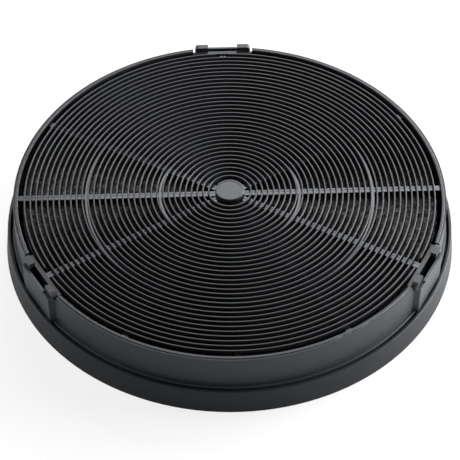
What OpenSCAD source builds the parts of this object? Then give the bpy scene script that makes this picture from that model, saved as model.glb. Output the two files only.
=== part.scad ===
// Round activated-carbon filter for a cooker hood.
// A casing with a bayonet rim is closed by a ring grille on top and by a grilled cover below.
// Carbon granules fill the space between the two grilles.
// Origin: centre of the underside. +Z is the axis, towards the face with the bayonet catches.

/* [Overall] */
// Diameter of the cover at its foot
overall_d = 233; // [215:0.5:250]
// Height from the foot of the cover to the face of the top grille
height = 33.5; // [30:0.5:44]

/* [Casing] */
// Gap between the casing's foot and the inside of the cover band
groove_w = 1.5; // [1.2:0.05:2.5]
// Thickness of the casing wall
wall_t = 1.9; // [1.5:0.1:2.4]
// How much the casing wall widens on its way down, on the radius
wall_draft = 0.25; // [0:0.05:1]
// Step out at the casing's foot, where it enters the cover
step_out = 1.3; // [0.6:0.05:1.6]
// Width of the casing's edge round the top grille
edge_w = 0.35; // [0.3:0.05:0.8]
// How far that edge lies below the face of the grille
edge_low = 0.25; // [0:0.05:0.8]
// Bevel along the edges of the casing's step and of the cover band's top
wall_bevel = 0.3; // [0.1:0.05:0.4]

/* [Top grille] */
// Width of the grille's rim
lip_w = 1.75; // [1.2:0.05:2.4]
// Height of the grille's rim
lip_h = 3.2; // [2.6:0.1:3.6]
// Parting gap between the grille's rim and the casing
lip_gap = 0.3; // [0.1:0.05:0.5]
// Rounding of the rim's two top edges
lip_round = 0.4; // [0.2:0.05:0.5]
// Number of rings
ring_count = 33; // [24:1:35]
// Radius of the innermost ring, to the middle of its blade
first_ring_r = 10.85; // [9.5:0.05:13]
// Gap from the outermost ring to the straight wall of a catch
ring_edge_gap = 0.85; // [0.4:0.05:1.5]
// Thickness of a ring blade at its edge
ring_w = 0.65; // [0.5:0.05:1.1]
// How much a blade thickens on each side towards its root
ring_draft = 0.3; // [0:0.05:0.4]
// Bevel along a blade's edge
ring_bevel = 0.1; // [0.05:0.05:0.2]
// Height of a ring blade
ring_h = 4; // [3:0.1:6]
// Place of the inner hoop, in ring pitches from the innermost ring
inner_hoop = 8.5; // [4.5:1:12.5]
// Place of the outer hoop, in ring pitches from the innermost ring
outer_hoop = 21.35; // [14.35:1:23.35]
// Width of the two hoops that tie the spokes together
hoop_w = 1.1; // [0.8:0.1:1.4]
// Number of radial spokes
spoke_count = 12; // [6:3:15]
// Width of a spoke
spoke_w = 3.3; // [2:0.1:4]
// Thickness of a spoke
spoke_t = 2.2; // [1.5:0.1:3]
// Width of the groove along the outer face of a spoke
spoke_groove_w = 1.1; // [0.6:0.1:1.4]
// Depth of that groove
spoke_groove_d = 0.15; // [0.05:0.05:0.6]
// How far the spokes lie behind the edges of the rings
spoke_sunk = 2.1; // [1.5:0.1:2.4]
// Radius of the hub
hub_r = 7.4; // [6:0.1:8.5]
// How far the top hub stands above the rings
hub_proud = 0.6; // [0:0.05:1.5]
// Rounding of the hub's edge
hub_round = 0.5; // [0.2:0.1:0.8]
// Depth of the shallow dish in each hub
hub_dish = 0.2; // [0.1:0.05:0.4]

/* [Catches] */
// Number of bayonet catches
catch_count = 3; // [3:1:4]
// Length of a catch
catch_l = 30.4; // [26:0.2:34]
// How far the flat face of a catch stands out past the rim, at its middle
boss_out = 2; // [1.6:0.1:2.3]
// Width of the flat face of a catch
face_w = 26.4; // [24:0.2:28]
// Thickness of the outer wall of a catch
shield_t = 1.2; // [0.8:0.1:1.4]
// How far the outer wall of a catch lies below the face of the grille
shield_low = 2; // [1:0.1:2.4]
// Width of the slit that parts each end of a catch from the rim
slit_w = 1.1; // [0.8:0.1:1.8]
// Depth of that slit
slit_depth = 2.9; // [2.4:0.1:3]
// Length of the hook slot between the two posts
slot_l = 16; // [14:0.2:18]
// Depth of the hook slot below the face of the grille
slot_depth = 17; // [12:0.5:17]
// Thickness of the floor of the hook slot
slot_floor_t = 1.8; // [1.2:0.1:2.4]
// Thickness of the straight wall behind the slot
chord_t = 2.2; // [1.6:0.1:2.6]
// How far the straight wall lies below the face of the grille
chord_low = 1.2; // [0.5:0.1:1.8]
// How far the posts stand above the face of the grille
post_proud = 1.25; // [0.5:0.05:2]
// Length of the posts, downwards from their tops
post_h = 12; // [8:0.5:13]
// Rounding of a post's outer top corner
post_round = 2; // [1:0.1:2.6]
// Rounding of a post's outer corner in plan
post_corner = 1; // [0.4:0.1:1.4]
// Clearance between a post and the walls of the casing
post_gap = 0.2; // [0.1:0.05:0.4]
// Length of the break in the outermost ring at a catch
ring_break = 7; // [5:0.5:12]

/* [Cover] */
// Height of the cover band
band_h = 14.05; // [11:0.05:15]
// How much the cover band leans in towards its top, on the radius
band_draft = 1.45; // [0:0.05:2]
// Thickness of the cover band at its top
band_t = 1.35; // [1:0.05:1.8]
// Bevel along the cover's foot
foot_bevel = 0.7; // [0.3:0.1:1]
// Thickness of the cover's floor, on which the casing stands
floor_t = 2.5; // [2:0.1:3.5]
// How far the cover's grille lies above the foot
grille_lift = 1; // [0.4:0.1:2]
// Height of the cover's locating rib above its floor
rib_h = 4; // [2:0.5:6]
// Thickness of the cover's locating rib
rib_t = 1.4; // [1:0.1:2]
// Clearance between the locating rib and the casing wall
rib_gap = 0.25; // [0.1:0.05:0.4]

/* [Carbon] */
// Clearance round the carbon bed and above it
bed_gap = 0.3; // [0.2:0.1:0.6]

/* [Hidden] */
$fn = 180;
eps = 0.01;
plastic = [0.14, 0.14, 0.15];
carbon = [0.05, 0.05, 0.055];
foot_r = overall_d / 2;
band_top_r = foot_r - band_draft;
step_r = band_top_r - band_t - groove_w;
wall_foot_r = step_r - step_out;
rim_r = wall_foot_r - wall_draft;
wall_in_r = rim_r - wall_t;
recess_r = rim_r - edge_w;
lip_out_r = recess_r - lip_gap;
lip_in_r = lip_out_r - lip_w;
ledge_z = height - lip_h;
edge_z = height - edge_low;
seat_z = floor_t;
spoke_top = height - spoke_sunk;
spoke_bottom = spoke_top - spoke_t;
spoke_end_r = (lip_in_r + wall_in_r) / 2;
face_y = rim_r + boss_out;
slot_out = face_y - shield_t;
slot_in = lip_in_r;
chord_in = slot_in - chord_t;
slot_bottom = height - slot_depth;
block_z = slot_bottom - slot_floor_t;
slit_z = height - slit_depth;
slit_end = catch_l / 2 + slit_w;
side_y = sqrt(pow(rim_r, 2) - pow(catch_l / 2, 2)) - wall_t / 2;
post_top = height + post_proud;
post_l = (catch_l - slot_l) / 2;
pocket_half = face_w / 2 - shield_t / 2;
shank_l = pocket_half - post_gap - slot_l / 2;
catch_turn = 360 / catch_count;
spoke_turn = 360 / spoke_count;
last_ring_r = chord_in - ring_edge_gap - ring_w / 2;
ring_pitch = (last_ring_r - first_ring_r) / (ring_count - 1);
cover_ring_top = grille_lift + ring_h;
cover_spoke_z = grille_lift + spoke_sunk;
floor_in_r = last_ring_r + ring_w / 2;
rib_out_r = wall_in_r - rib_gap;
bed_r = rib_out_r - rib_t - bed_gap;
bed_z = max(cover_ring_top, cover_spoke_z + spoke_t);
bed_top = min(spoke_bottom, height - ring_h) - bed_gap;

// Places what follows at each catch, where X runs along the rim and Y points outwards
module at_catches() {
    for (i = [0 : catch_count - 1])
        rotate([0, 0, i * catch_turn])
            children();
}

// Extrudes an outline in X and Z along Y, from the axis side of a catch to its outside
module along_y(y0, y1) {
    translate([0, y1, 0])
        rotate([90, 0, 0])
            linear_extrude(y1 - y0)
                children();
}

// The ring blades of a grille, with their edges up and their roots at z = 0
module rings() {
    rotate_extrude()
        for (k = [0 : ring_count - 1]) {
            inner = first_ring_r + k * ring_pitch - ring_w / 2;
            outer = inner + ring_w;
            polygon([
                [inner - ring_draft, 0],
                [outer + ring_draft, 0],
                [outer, ring_h - ring_bevel],
                [outer - ring_bevel, ring_h],
                [inner + ring_bevel, ring_h],
                [inner, ring_h - ring_bevel]
            ]);
        }
}

// The spokes of a grille, out to radius r, grooved on top, with the hoops that tie them together
module spokes(r) {
    for (i = [0 : spoke_count - 1])
        rotate([0, 0, i * spoke_turn])
            difference() {
                translate([0, -spoke_w / 2, 0])
                    cube([r, spoke_w, spoke_t]);
                translate([hub_r, -spoke_groove_w / 2, spoke_t - spoke_groove_d])
                    cube([last_ring_r - hub_r, spoke_groove_w, spoke_t]);
            }
    rotate_extrude()
        for (k = [inner_hoop, outer_hoop])
            translate([first_ring_r + k * ring_pitch - hoop_w / 2, 0])
                square([hoop_w, spoke_t]);
}

// Hub disc of height h with a rounded edge and a shallow dish in its top
module hub(h) {
    rotate_extrude() {
        square([hub_r - 2 * hub_round, h - hub_dish]);
        translate([hub_r - 2 * hub_round, 0])
            square([hub_round, h]);
        square([hub_r, h - hub_round]);
        translate([hub_r - hub_round, h - hub_round])
            intersection() {
                circle(r = hub_round);
                square(hub_round);
            }
    }
}

// Plan of a catch's boss: a flat face with sides that run back into the wall
module boss_plan() {
    polygon([
        [-catch_l / 2, side_y],
        [-face_w / 2, face_y],
        [face_w / 2, face_y],
        [catch_l / 2, side_y]
    ]);
}

// Plan of the block behind a boss, which holds the hook slot, larger all round by grow
module block_plan(grow = 0) {
    translate([-catch_l / 2 - grow, chord_in - grow])
        square([catch_l + 2 * grow, side_y - chord_in + eps + 2 * grow]);
}

// Plan of the hollow inside a boss, which starts at distance y0 from the axis
module pocket_plan(y0) {
    half = catch_l / 2 - shield_t;
    polygon([
        [-half, y0],
        [-half, side_y],
        [-pocket_half, slot_out],
        [pocket_half, slot_out],
        [half, side_y],
        [half, y0]
    ]);
}

// What the top edge of a catch loses: it lies below the rim, and lower still under the posts
module catch_dip(y0) {
    along_y(y0, foot_r)
        polygon([
            [-slot_l / 2, height - shield_low],
            [slot_l / 2, height - shield_low],
            [slot_l / 2, slit_z],
            [slit_end, slit_z],
            [slit_end, post_top],
            [-slit_end, post_top],
            [-slit_end, slit_z],
            [-slot_l / 2, slit_z]
        ]);
}

// Wall of the casing: a step at the foot and a drafted outside
module casing_wall() {
    rotate_extrude()
        polygon([
            [wall_in_r, seat_z],
            [step_r, seat_z],
            [step_r, band_h - wall_bevel],
            [step_r - wall_bevel, band_h],
            [wall_foot_r, band_h],
            [rim_r, edge_z],
            [wall_in_r, edge_z]
        ]);
}

module casing() {
    color(plastic)
    difference() {
        union() {
            casing_wall();
            translate([0, 0, seat_z])
                linear_extrude(edge_z - seat_z)
                    at_catches()
                        boss_plan();
            translate([0, 0, block_z])
                linear_extrude(spoke_bottom - block_z)
                    at_catches()
                        block_plan();
        }
        // hook slots, open at the top
        translate([0, 0, slot_bottom])
            linear_extrude(height)
                at_catches()
                    pocket_plan(slot_in);
        // the bosses are cored from below
        translate([0, 0, seat_z - eps])
            linear_extrude(block_z - seat_z + eps)
                at_catches()
                    pocket_plan(chord_in - wall_t);
        at_catches() {
            // room for the straight wall of the top grille
            translate([-slit_end, chord_in - wall_t, spoke_bottom])
                cube([2 * slit_end, slot_in - chord_in + wall_t + eps, height]);
            catch_dip(slot_in - eps);
        }
        // recess for the grille's rim, with a ledge that carries it
        translate([0, 0, ledge_z])
            cylinder(r = recess_r, h = height);
    }
}

// Head of a post in plan: its outer corner is round
module post_plan() {
    depth = slot_out - post_gap - slot_in;
    square([post_l - post_corner, depth]);
    square([post_l, depth - post_corner]);
    translate([post_l - post_corner, depth - post_corner])
        circle(r = post_corner);
}

// Head of a post seen along the radius: its outer top corner is round
module post_front() {
    h = post_top - slit_z - post_gap;
    square([post_l - post_round, h]);
    square([post_l, h - post_round]);
    translate([post_l - post_round, h - post_round])
        circle(r = post_round);
}

// Post of a catch on the side of +X: a head over the rim, and a shank in the hook slot
module post() {
    shank_z = post_top - post_h;
    intersection() {
        translate([slot_l / 2, slot_in, 0])
            linear_extrude(post_top)
                post_plan();
        along_y(slot_in - eps, slot_out)
            translate([slot_l / 2, slit_z + post_gap])
                post_front();
    }
    translate([slot_l / 2, slot_in + post_gap, shank_z])
        cube([shank_l, slot_out - slot_in - 2 * post_gap, slit_z - shank_z + 2 * post_gap]);
}

// Rim of the top grille, with both its top edges rounded
module lip() {
    rotate_extrude()
        translate([lip_in_r, 0]) {
            square([lip_w, lip_h - lip_round]);
            translate([lip_round, 0])
                square([lip_w - 2 * lip_round, lip_h]);
            for (x = [lip_round, lip_w - lip_round])
                translate([x, lip_h - lip_round])
                    circle(r = lip_round);
        }
}

module top_grille() {
    color(plastic)
    union() {
        difference() {
            union() {
                translate([0, 0, height - ring_h])
                    rings();
                translate([0, 0, ledge_z])
                    lip();
            }
            at_catches() {
                along_y(chord_in, foot_r)
                    translate([-slit_end, ledge_z - eps])
                        square([2 * slit_end, lip_h + 2 * eps]);
                translate([-ring_break / 2, last_ring_r - ring_pitch / 2, height - ring_h - eps])
                    cube([ring_break, ring_pitch, ring_h + 2 * eps]);
            }
        }
        translate([0, 0, spoke_bottom])
            difference() {
                spokes(spoke_end_r);
                at_catches()
                    translate([-slit_end, slot_in - eps, -eps])
                        cube([2 * slit_end, foot_r, spoke_t + 2 * eps]);
            }
        at_catches() {
            along_y(chord_in, slot_in)
                translate([-catch_l / 2, spoke_bottom])
                    square([catch_l, height - chord_low - spoke_bottom]);
            post();
            mirror([1, 0, 0])
                post();
        }
        translate([0, 0, spoke_bottom])
            hub(height + hub_proud - spoke_bottom);
    }
}

module base_cover() {
    color(plastic)
    union() {
        rotate_extrude()
            polygon([
                [floor_in_r - eps, 0],
                [foot_r - foot_bevel, 0],
                [foot_r, foot_bevel],
                [band_top_r, band_h - wall_bevel],
                [band_top_r - wall_bevel, band_h],
                [band_top_r - band_t, band_h],
                [band_top_r - band_t, floor_t],
                [rib_out_r, floor_t],
                [rib_out_r, floor_t + rib_h],
                [rib_out_r - rib_t, floor_t + rib_h],
                [rib_out_r - rib_t, floor_t],
                [floor_in_r - eps, floor_t]
            ]);
        // the grille faces down: its rings point the other way
        translate([0, 0, cover_ring_top])
            mirror([0, 0, 1])
                rings();
        translate([0, 0, cover_spoke_z + spoke_t])
            mirror([0, 0, 1]) {
                spokes(floor_in_r + eps);
                hub(cover_spoke_z + spoke_t - grille_lift + hub_dish);
            }
    }
}

module carbon_bed() {
    color(carbon)
    difference() {
        translate([0, 0, bed_z])
            cylinder(r = bed_r, h = bed_top - bed_z);
        translate([0, 0, block_z - bed_gap])
            linear_extrude(height)
                at_catches()
                    block_plan(bed_gap);
    }
}

casing();
top_grille();
base_cover();
carbon_bed();
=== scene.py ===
"""Looks of a round carbon filter for a cooker hood.

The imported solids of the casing, the grille and the cover keep their shape, apart from soft edges
on the casing, and get the finish of satin black polypropylene. The carbon bed gets its grains as
a mesh of its own.
"""

import logging
import math
from dataclasses import dataclass, field
from enum import Enum

import bpy
from mathutils import Matrix, Vector


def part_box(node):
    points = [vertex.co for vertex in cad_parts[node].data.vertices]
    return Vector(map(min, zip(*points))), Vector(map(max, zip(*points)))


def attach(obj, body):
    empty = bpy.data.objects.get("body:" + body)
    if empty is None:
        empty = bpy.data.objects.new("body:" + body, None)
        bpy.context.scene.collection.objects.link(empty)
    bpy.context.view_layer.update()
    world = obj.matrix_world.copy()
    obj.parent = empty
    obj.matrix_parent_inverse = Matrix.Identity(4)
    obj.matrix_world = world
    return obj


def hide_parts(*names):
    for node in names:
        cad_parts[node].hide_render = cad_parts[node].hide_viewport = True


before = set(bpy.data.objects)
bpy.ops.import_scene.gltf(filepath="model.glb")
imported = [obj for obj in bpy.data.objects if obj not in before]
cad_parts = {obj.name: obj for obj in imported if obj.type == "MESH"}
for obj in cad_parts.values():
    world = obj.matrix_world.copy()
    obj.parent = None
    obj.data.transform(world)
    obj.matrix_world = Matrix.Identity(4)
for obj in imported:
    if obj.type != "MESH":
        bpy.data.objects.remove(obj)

LOG = logging.getLogger("carbon_filter")
MM = 0.001


class Body(Enum):
    """The rigid bodies of the part. Nothing on a filter moves, so there is one."""

    ROOT = "root"


class Slot(Enum):
    """The material slots of the record. No piece in this script takes one."""

    CARBON = "carbon_granules"


def linear(hex_colour: str) -> tuple[float, float, float, float]:
    """Turns an sRGB hex colour into the linear values that Blender's sockets take.

    Args:
        hex_colour: A colour such as "#1f2022".

    Returns:
        Red, green, blue and an alpha of 1, as linear values.
    """
    parts = [int(hex_colour[i : i + 2], 16) / 255 for i in (1, 3, 5)]
    red, green, blue = (
        p / 12.92 if p <= 0.04045 else ((p + 0.055) / 1.055) ** 2.4 for p in parts
    )
    return red, green, blue, 1.0


def add_node(
    tree: bpy.types.NodeTree,
    kind: str,
    settings: dict | None = None,
    links: dict | None = None,
) -> bpy.types.Node:
    """Adds one node to a tree with its settings, its socket values and its links.

    Args:
        tree: The node tree.
        kind: The node's type name, such as "ShaderNodeTexNoise".
        settings: Attribute names, or input socket names and numbers, with their values.
        links: Input socket names or numbers with the output socket that feeds each.

    Returns:
        The new node.
    """
    node = tree.nodes.new(kind)
    for key, value in (settings or {}).items():
        if isinstance(key, str) and hasattr(node, key):
            setattr(node, key, value)
        else:
            node.inputs[key].default_value = value
    for key, source in (links or {}).items():
        tree.links.new(source, node.inputs[key])
    return node


def new_material(name: str) -> tuple[bpy.types.Material, bpy.types.NodeTree]:
    """Makes an empty node material.

    Args:
        name: The material's name.

    Returns:
        The material and its cleared node tree.
    """
    material = bpy.data.materials.new(name)
    material.use_nodes = True
    material.node_tree.nodes.clear()
    return material, material.node_tree


def shown_rays(
    tree: bpy.types.NodeTree, to_eye: float = 1.0, in_gloss: float = 1.0
) -> bpy.types.NodeSocket:
    """Adds the nodes that tell rays which show the white ground from those that only light.

    Args:
        tree: The node tree of the floor's material or of the world.
        to_eye: The share of plain white that the camera gets.
        in_gloss: The share of plain white that gloss and glass get.

    Returns:
        A socket with that share, which is 0 for all other rays.
    """
    path = add_node(tree, "ShaderNodeLightPath").outputs
    gloss = add_node(
        tree,
        "ShaderNodeMath",
        {"operation": "MAXIMUM"},
        {0: path["Is Glossy Ray"], 1: path["Is Transmission Ray"]},
    )
    dimmed = add_node(
        tree,
        "ShaderNodeMath",
        {"operation": "MULTIPLY", 1: in_gloss},
        {0: gloss.outputs["Value"]},
    )
    shown = add_node(
        tree,
        "ShaderNodeMath",
        {"operation": "MULTIPLY_ADD", 1: to_eye},
        {0: path["Is Camera Ray"], 2: dimmed.outputs["Value"]},
    )
    return shown.outputs["Value"]


@dataclass(frozen=True)
class MouldedPlastic:
    """Satin black polypropylene, injection moulded in a spark-eroded tool.

    Its dark pigment leaves hardly any colour: what the eye sees is the soft reflection of the
    lamps, a little broken by the fine grain of the tool.
    """

    name: str
    # Polypropylene has about 1.49. The pieces are set lower, to match the photograph.
    ior: float
    dark: str = "#191a1c"
    light: str = "#212224"
    rough_low: float = 0.44
    rough_high: float = 0.54
    # The tool's grain is about 0.05 mm, too fine to show, so it is drawn ten times as coarse.
    grain_mm: float = 0.5
    grain_depth_mm: float = 0.012
    grain_strength: float = 0.5
    # Slow changes of tone and sheen, as melt that cools unevenly leaves over a wide face.
    cloud_mm: float = 28.0
    cloud_low: float = 0.3
    cloud_high: float = 0.7
    # The share of roughness that is left on the spokes and hoops, and on the hub.
    spoke_polish: float = 1.0
    spokes_below_mm: float = 31.9
    hub_polish: float = 1.0
    hub_radius_mm: float = 7.4
    polish_edge_mm: float = 0.3
    # The photograph's highlights are slightly blue.
    gloss_tint: str = "#e9f2ff"

    def polish(
        self, tree: bpy.types.NodeTree, length: bpy.types.NodeSocket, below_mm: float, share: float
    ) -> bpy.types.NodeSocket:
        """Adds the share of roughness that is left where the tool was polished.

        Args:
            tree: The material's node tree.
            length: A length over the piece, in metres.
            below_mm: The surface is polished where that length is smaller than this.
            share: The share of roughness that is left there.

        Returns:
            The share over the whole piece.
        """
        steps = add_node(
            tree,
            "ShaderNodeMapRange",
            {
                "From Min": (below_mm - self.polish_edge_mm) * MM,
                "From Max": below_mm * MM,
                "To Min": share,
                "To Max": 1.0,
            },
            {"Value": length},
        )
        return steps.outputs["Result"]

    def make(self) -> bpy.types.Material:
        """Builds the material."""
        material, tree = new_material(self.name)
        place = add_node(tree, "ShaderNodeTexCoord").outputs["Object"]
        cloud = add_node(
            tree,
            "ShaderNodeTexNoise",
            {"Scale": 1 / (self.cloud_mm * MM), "Detail": 3.0, "Roughness": 0.55},
            {"Vector": place},
        )
        grain = add_node(
            tree,
            "ShaderNodeTexNoise",
            {"Scale": 1 / (self.grain_mm * MM), "Detail": 2.0, "Roughness": 0.6},
            {"Vector": place},
        )
        tint = add_node(
            tree,
            "ShaderNodeMix",
            {"data_type": "RGBA", 6: linear(self.dark), 7: linear(self.light)},
            {0: cloud.outputs["Fac"]},
        )
        rough = add_node(
            tree,
            "ShaderNodeMapRange",
            {
                "From Min": self.cloud_low,
                "From Max": self.cloud_high,
                "To Min": self.rough_low,
                "To Max": self.rough_high,
            },
            {"Value": cloud.outputs["Fac"]},
        )
        height = add_node(tree, "ShaderNodeSeparateXYZ", links={"Vector": place})
        flat = add_node(
            tree,
            "ShaderNodeVectorMath",
            {"operation": "MULTIPLY", 1: (1, 1, 0)},
            {0: place},
        )
        radius = add_node(
            tree,
            "ShaderNodeVectorMath",
            {"operation": "LENGTH"},
            {0: flat.outputs["Vector"]},
        )
        sheen = rough.outputs["Result"]
        for length, below_mm, share in (
            (height.outputs["Z"], self.spokes_below_mm, self.spoke_polish),
            (radius.outputs["Value"], self.hub_radius_mm, self.hub_polish),
        ):
            sheen = add_node(
                tree,
                "ShaderNodeMath",
                {"operation": "MULTIPLY"},
                {0: sheen, 1: self.polish(tree, length, below_mm, share)},
            ).outputs["Value"]
        bump = add_node(
            tree,
            "ShaderNodeBump",
            {"Strength": self.grain_strength, "Distance": self.grain_depth_mm * MM},
            {"Height": grain.outputs["Fac"]},
        )
        surface = add_node(
            tree,
            "ShaderNodeBsdfPrincipled",
            {"IOR": self.ior, "Specular Tint": linear(self.gloss_tint)},
            {
                "Base Color": tint.outputs[2],
                "Roughness": sheen,
                "Normal": bump.outputs["Normal"],
            },
        )
        add_node(
            tree, "ShaderNodeOutputMaterial", links={"Surface": surface.outputs["BSDF"]}
        )
        return material


@dataclass(frozen=True)
class CarbonGrains:
    """Crushed activated carbon: dull grey-black grains with small glints where they broke."""

    name: str
    dark: str = "#040404"
    light: str = "#39393b"
    # The higher this is, the fewer grains are light.
    light_rarity: float = 5.0
    rough_low: float = 0.45
    rough_high: float = 0.85
    ior: float = 1.45
    # Granules for air filters are about 1 to 3 mm, and their broken faces are pitted.
    grain_mm: float = 1.8
    grit_mm: float = 0.35
    grit_depth_mm: float = 0.12
    grit_strength: float = 0.8

    def make(self) -> bpy.types.Material:
        """Builds the material."""
        material, tree = new_material(self.name)
        place = add_node(tree, "ShaderNodeTexCoord").outputs["Object"]
        cells = add_node(
            tree,
            "ShaderNodeTexVoronoi",
            {"Scale": 1 / (self.grain_mm * MM), "Randomness": 1.0},
            {"Vector": place},
        )
        grit = add_node(
            tree,
            "ShaderNodeTexNoise",
            {"Scale": 1 / (self.grit_mm * MM), "Detail": 3.0},
            {"Vector": place},
        )
        tone = add_node(
            tree, "ShaderNodeSeparateColor", links={"Color": cells.outputs["Color"]}
        )
        few = add_node(
            tree,
            "ShaderNodeMath",
            {"operation": "POWER", 1: self.light_rarity},
            {0: tone.outputs["Red"]},
        )
        tint = add_node(
            tree,
            "ShaderNodeMix",
            {"data_type": "RGBA", 6: linear(self.dark), 7: linear(self.light)},
            {0: few.outputs["Value"]},
        )
        rough = add_node(
            tree,
            "ShaderNodeMapRange",
            {"To Min": self.rough_low, "To Max": self.rough_high},
            {"Value": tone.outputs["Green"]},
        )
        bump = add_node(
            tree,
            "ShaderNodeBump",
            {"Strength": self.grit_strength, "Distance": self.grit_depth_mm * MM},
            {"Height": grit.outputs["Fac"]},
        )
        surface = add_node(
            tree,
            "ShaderNodeBsdfPrincipled",
            {"IOR": self.ior},
            {
                "Base Color": tint.outputs[2],
                "Roughness": rough.outputs["Result"],
                "Normal": bump.outputs["Normal"],
            },
        )
        add_node(
            tree, "ShaderNodeOutputMaterial", links={"Surface": surface.outputs["BSDF"]}
        )
        return material


@dataclass(frozen=True)
class StudioFloor:
    """White studio board, which shows as plain white but keeps the object's soft shadow."""

    name: str = "studio_board"
    colour: str = "#f2f2f2"
    # How much of the board's own light, and so of the shadow, the camera and gloss get.
    shadow_share: float = 0.2
    gloss_shadow_share: float = 0.7

    def make(self) -> bpy.types.Material:
        """Builds the material."""
        material, tree = new_material(self.name)
        board = add_node(tree, "ShaderNodeBsdfDiffuse", {"Color": linear(self.colour)})
        white = add_node(
            tree, "ShaderNodeEmission", {"Color": (1, 1, 1, 1), "Strength": 1.0}
        )
        mixed = add_node(
            tree,
            "ShaderNodeMixShader",
            links={
                0: shown_rays(tree, 1 - self.shadow_share, 1 - self.gloss_shadow_share),
                1: board.outputs["BSDF"],
                2: white.outputs["Emission"],
            },
        )
        add_node(
            tree, "ShaderNodeOutputMaterial", links={"Surface": mixed.outputs["Shader"]}
        )
        return material


def deselect() -> None:
    """Deselects every object, because an operator acts on all that is selected."""
    bpy.ops.object.select_all(action="DESELECT")


def select_only(piece: bpy.types.Object) -> None:
    """Makes one object the only selected and the active one.

    Args:
        piece: The object.
    """
    deselect()
    piece.select_set(True)
    bpy.context.view_layer.objects.active = piece


def settle(piece: bpy.types.Object) -> None:
    """Puts a piece's place, turn and scale into its mesh, so that its object is at the origin.

    Args:
        piece: The object.
    """
    select_only(piece)
    bpy.ops.object.transform_apply(location=True, rotation=True, scale=True)


def dress(piece: bpy.types.Object, material: bpy.types.Material) -> None:
    """Gives a piece one material all over.

    Args:
        piece: A mesh object.
        material: The material.
    """
    piece.data.materials.clear()
    piece.data.materials.append(material)


@dataclass
class Mouldings:
    """The casing, the top grille and the cover, as the frame gives them."""

    soft_node: str = "casing"
    soft_edge_mm: float = 0.45
    soft_edge_steps: int = 3
    # Edges that turn by less are left as they are.
    soft_angle: float = math.radians(50)
    weld_mm: float = 0.005
    finishes: dict[str, MouldedPlastic] = field(
        default_factory=lambda: {
            # A matt wall, which passes softly from light to dark round the casing.
            "casing": MouldedPlastic(
                "moulded_polypropylene_casing", ior=1.46, rough_low=0.5, rough_high=0.57
            ),
            # Satin ring blades, over spokes, hoops and a hub that shine more.
            "top_grille": MouldedPlastic(
                "moulded_polypropylene_grille",
                ior=1.38,
                dark="#121315",
                light="#191a1c",
                spoke_polish=0.46,
                hub_polish=0.75,
                gloss_tint="#f5f9ff",
            ),
            # A matt band. Its base colour is set darker than the casing's as painted shade, for
            # the shadowed floor that it mirrors near its foot.
            "base_cover": MouldedPlastic(
                "moulded_polypropylene_cover_painted_shade",
                ior=1.34,
                dark="#0f1012",
                light="#151618",
                rough_low=0.5,
                rough_high=0.58,
            ),
        }
    )

    def build(self) -> None:
        """Dresses each moulding."""
        for node, finish in self.finishes.items():
            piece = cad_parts[node]
            dress(piece, finish.make())
            LOG.info("%s: dressed as %s", node, finish.name)
        self.soften(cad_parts[self.soft_node])

    def soften(self, piece: bpy.types.Object) -> None:
        """Rounds the sharp edges of the catches a little, as moulded ones are.

        Args:
            piece: The node's object, whose own mesh stays as it is.
        """
        weld = piece.modifiers.new("weld", "WELD")
        weld.merge_threshold = self.weld_mm * MM
        bevel = piece.modifiers.new("soft_edges", "BEVEL")
        bevel.width = self.soft_edge_mm * MM
        bevel.segments = self.soft_edge_steps
        bevel.limit_method = "ANGLE"
        bevel.angle_limit = self.soft_angle


@dataclass
class CarbonBed:
    """The bed of carbon grains between the two grilles."""

    node: str = "carbon_bed"
    rim_sides: int = 180
    voxel_mm: float = 1.05
    grain_mm: float = 2.2
    grain_height_mm: float = 0.9
    finish: CarbonGrains = CarbonGrains("crushed_activated_carbon")

    def build(self) -> bpy.types.Object:
        """Makes the grains from a cylinder that fills the bed's place.

        The grains rise and fall by half their height round its faces, so it starts smaller by
        that much. The highest of them pass the bed's own faces by 0.1 mm at most.

        Returns:
            The finished piece.
        """
        low, high = (Vector(corner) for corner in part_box(self.node))
        middle = (low + high) / 2
        inset = self.grain_height_mm * MM / 2
        deselect()
        bpy.ops.mesh.primitive_cylinder_add(
            vertices=self.rim_sides,
            radius=(high.x - low.x) / 2 - inset,
            depth=high.z - low.z - 2 * inset,
            location=middle,
        )
        piece = bpy.context.object
        piece.name = "carbon_grains"
        settle(piece)
        remesh = piece.modifiers.new("grid", "REMESH")
        remesh.mode = "VOXEL"
        remesh.voxel_size = self.voxel_mm * MM
        bpy.ops.object.modifier_apply(modifier=remesh.name)
        lumps = bpy.data.textures.new("grains", "VORONOI")
        lumps.noise_scale = self.grain_mm * MM
        lumps.distance_metric = "DISTANCE"
        heap = piece.modifiers.new("heap", "DISPLACE")
        heap.texture = lumps
        heap.texture_coords = "LOCAL"
        heap.mid_level = 0.5
        heap.strength = self.grain_height_mm * MM
        bpy.ops.object.modifier_apply(modifier=heap.name)
        bpy.ops.object.shade_flat()
        dress(piece, self.finish.make())
        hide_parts(self.node)
        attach(piece, Body.ROOT.value)
        LOG.info("%s: %d faces", piece.name, len(piece.data.polygons))
        return piece


@dataclass(frozen=True)
class Softbox:
    """A rectangular studio lamp that looks at a point."""

    name: str
    place: tuple[float, float, float]
    width: float
    height: float
    watts: float
    target: tuple[float, float, float] = (0.0, 0.0, 0.02)

    def build(self) -> None:
        """Adds the lamp."""
        lamp = bpy.data.lights.new(self.name, "AREA")
        lamp.shape = "RECTANGLE"
        lamp.size = self.width
        lamp.size_y = self.height
        lamp.energy = self.watts
        holder = bpy.data.objects.new(self.name, lamp)
        bpy.context.scene.collection.objects.link(holder)
        holder.location = self.place
        away = Vector(self.place) - Vector(self.target)
        holder.rotation_mode = "QUATERNION"
        holder.rotation_quaternion = away.to_track_quat("Z", "Y")


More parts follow.
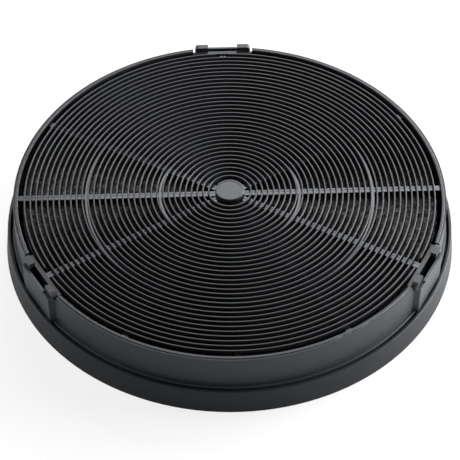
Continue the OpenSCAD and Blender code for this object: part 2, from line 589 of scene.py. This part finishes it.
@dataclass
class Studio:
    """Floor, lamps and world."""

    floor_size: float = 6.0
    world_strength: float = 0.1
    # The strengths were matched to the light on the object in the photograph.
    lamps: tuple[Softbox, ...] = (
        Softbox("lamp_right", (0.88, 0.18, 0.26), 0.8, 0.42, 32.0),
        Softbox("lamp_right_back", (0.74, 0.62, 0.36), 1.0, 0.6, 16.0),
        Softbox("lamp_left", (-0.85, 0.3, 0.36), 0.7, 0.5, 7.5),
        Softbox("lamp_back", (0.163, 1.547, 1.586), 0.9, 0.7, 17.0),
        Softbox("lamp_back_right", (0.75, 1.4, 1.45), 0.8, 0.7, 5.0),
        Softbox("lamp_back_low", (0.3, 1.9, 0.9), 0.9, 0.6, 16.0),
    )

    def build_floor(self) -> None:
        """Adds the floor under the part."""
        deselect()
        bpy.ops.mesh.primitive_plane_add(size=self.floor_size, location=(0, 0, 0))
        floor = bpy.context.object
        floor.name = "studio_floor"
        settle(floor)
        dress(floor, StudioFloor().make())

    def build_world(self) -> None:
        """Makes the world: white to the eye and in gloss, a soft fill to everything else."""
        world = bpy.data.worlds.new("studio_world")
        bpy.context.scene.world = world
        world.use_nodes = True
        tree = world.node_tree
        tree.nodes.clear()
        fill = add_node(
            tree,
            "ShaderNodeBackground",
            {"Color": (1, 1, 1, 1), "Strength": self.world_strength},
        )
        white = add_node(
            tree, "ShaderNodeBackground", {"Color": (1, 1, 1, 1), "Strength": 1.0}
        )
        mixed = add_node(
            tree,
            "ShaderNodeMixShader",
            links={
                0: shown_rays(tree),
                1: fill.outputs["Background"],
                2: white.outputs["Background"],
            },
        )
        add_node(
            tree, "ShaderNodeOutputWorld", links={"Surface": mixed.outputs["Shader"]}
        )

    def build(self) -> None:
        """Builds the whole studio."""
        self.build_floor()
        for lamp in self.lamps:
            lamp.build()
        self.build_world()
        bpy.context.scene.view_settings.view_transform = "Standard"


@dataclass(frozen=True)
class PhotoCamera:
    """The camera that took the photograph, worked out from the ellipses of the rings."""

    # The photograph's width and the focal length, both in its pixels.
    frame_px: float = 460.0
    focal_px: float = 1758.77
    sensor_mm: float = 36.0
    # From the middle of the rings' top plane, in metres, and the height above it.
    distance: float = 0.900527
    elevation: float = math.radians(46.0333)
    # How far the camera looks down, to the side and askew.
    tilt: float = math.radians(47.3252)
    pan: float = 0.000274
    roll: float = 0.002687
    # The part stands turned by this in the photograph, so the camera goes round it instead.
    part_turn: float = math.radians(2.2)
    ring_plane_z: float = 33.5 * MM
    clip_start: float = 0.05
    clip_end: float = 20.0

    def build(self) -> None:
        """Adds the camera and makes it the scene's own."""
        along = Vector(
            (
                math.sin(self.pan) * math.cos(self.tilt),
                math.cos(self.pan) * math.cos(self.tilt),
                -math.sin(self.tilt),
            )
        )
        level = Vector((math.cos(self.pan), -math.sin(self.pan), 0.0))
        upright = level.cross(along)
        right = math.cos(self.roll) * level + math.sin(self.roll) * upright
        up = -math.sin(self.roll) * level + math.cos(self.roll) * upright
        place = self.distance * Vector(
            (0.0, -math.cos(self.elevation), math.sin(self.elevation))
        )
        place.z += self.ring_plane_z
        axes = Matrix((right, up, -along)).transposed().to_4x4()
        turn = Matrix.Rotation(-self.part_turn, 4, "Z")
        lens = bpy.data.cameras.new("photo_camera")
        lens.sensor_width = self.sensor_mm
        lens.lens = self.sensor_mm * self.focal_px / self.frame_px
        lens.clip_start = self.clip_start
        lens.clip_end = self.clip_end
        camera = bpy.data.objects.new("photo_camera", lens)
        bpy.context.scene.collection.objects.link(camera)
        camera.matrix_world = turn @ Matrix.Translation(place) @ axes
        bpy.context.scene.camera = camera


def main() -> None:
    """Builds the object's looks, then the studio round it."""
    logging.basicConfig(level=logging.INFO, format="%(message)s")
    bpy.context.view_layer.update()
    PhotoCamera().build()
    Mouldings().build()
    CarbonBed().build()
    Studio().build()


if __name__ == "__main__":
    main()
